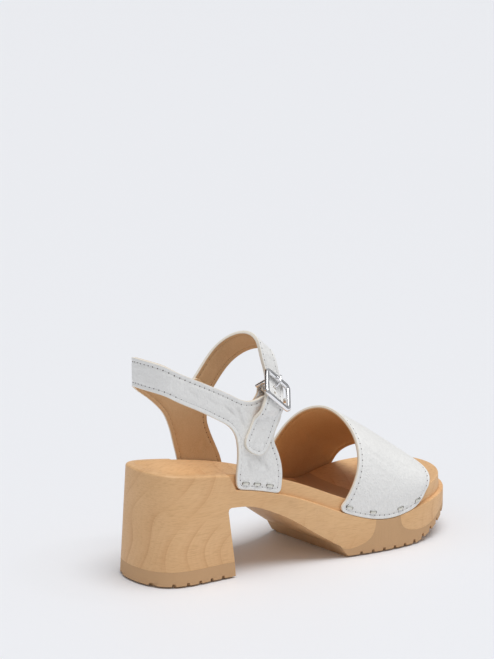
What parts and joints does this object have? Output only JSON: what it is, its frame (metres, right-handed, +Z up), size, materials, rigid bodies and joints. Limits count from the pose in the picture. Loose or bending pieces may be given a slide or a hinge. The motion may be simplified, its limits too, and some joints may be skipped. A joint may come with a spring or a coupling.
{
  "type": "platform sandal",
  "caption": "Right-foot platform sandal: split wooden sole on grooved rubber treads, leather vamp band, heel strap and buckled ankle strap.",
  "frame": {"origin": "on the floor, under the middle of the sandal's box", "axes": "+Y towards the toe, +X to the outer side of the right foot, +Z up from the floor"},
  "size_m": [0.1, 0.2468, 0.1469],
  "materials": {
    "wood": "satin, light alder",
    "rubber": "matte tan",
    "leather": "white grain outside, tan lining",
    "buckle_metal": "polished",
    "staple_metal": "plain wire"
  },
  "bodies": {
    "root": {"wood_sole": "wood", "wood_toe": "wood", "forefoot_rubber": "rubber", "heel_rubber": "rubber", "vamp": "leather", "back_straps": "leather", "buckle_tab": "leather", "buckle_frame": "buckle_metal", "buckle_prong": "buckle_metal", "staple_quarter_outer_1": "staple_metal", "staple_quarter_outer_2": "staple_metal", "staple_quarter_outer_3": "staple_metal", "staple_quarter_inner_1": "staple_metal", "staple_quarter_inner_2": "staple_metal", "staple_quarter_inner_3": "staple_metal", "staple_vamp_outer_1": "staple_metal", "staple_vamp_outer_2": "staple_metal", "staple_vamp_outer_3": "staple_metal", "staple_vamp_outer_4": "staple_metal", "staple_vamp_inner_1": "staple_metal", "staple_vamp_inner_2": "staple_metal", "staple_vamp_inner_3": "staple_metal", "staple_vamp_inner_4": "staple_metal"}
  },
  "joints": []
}
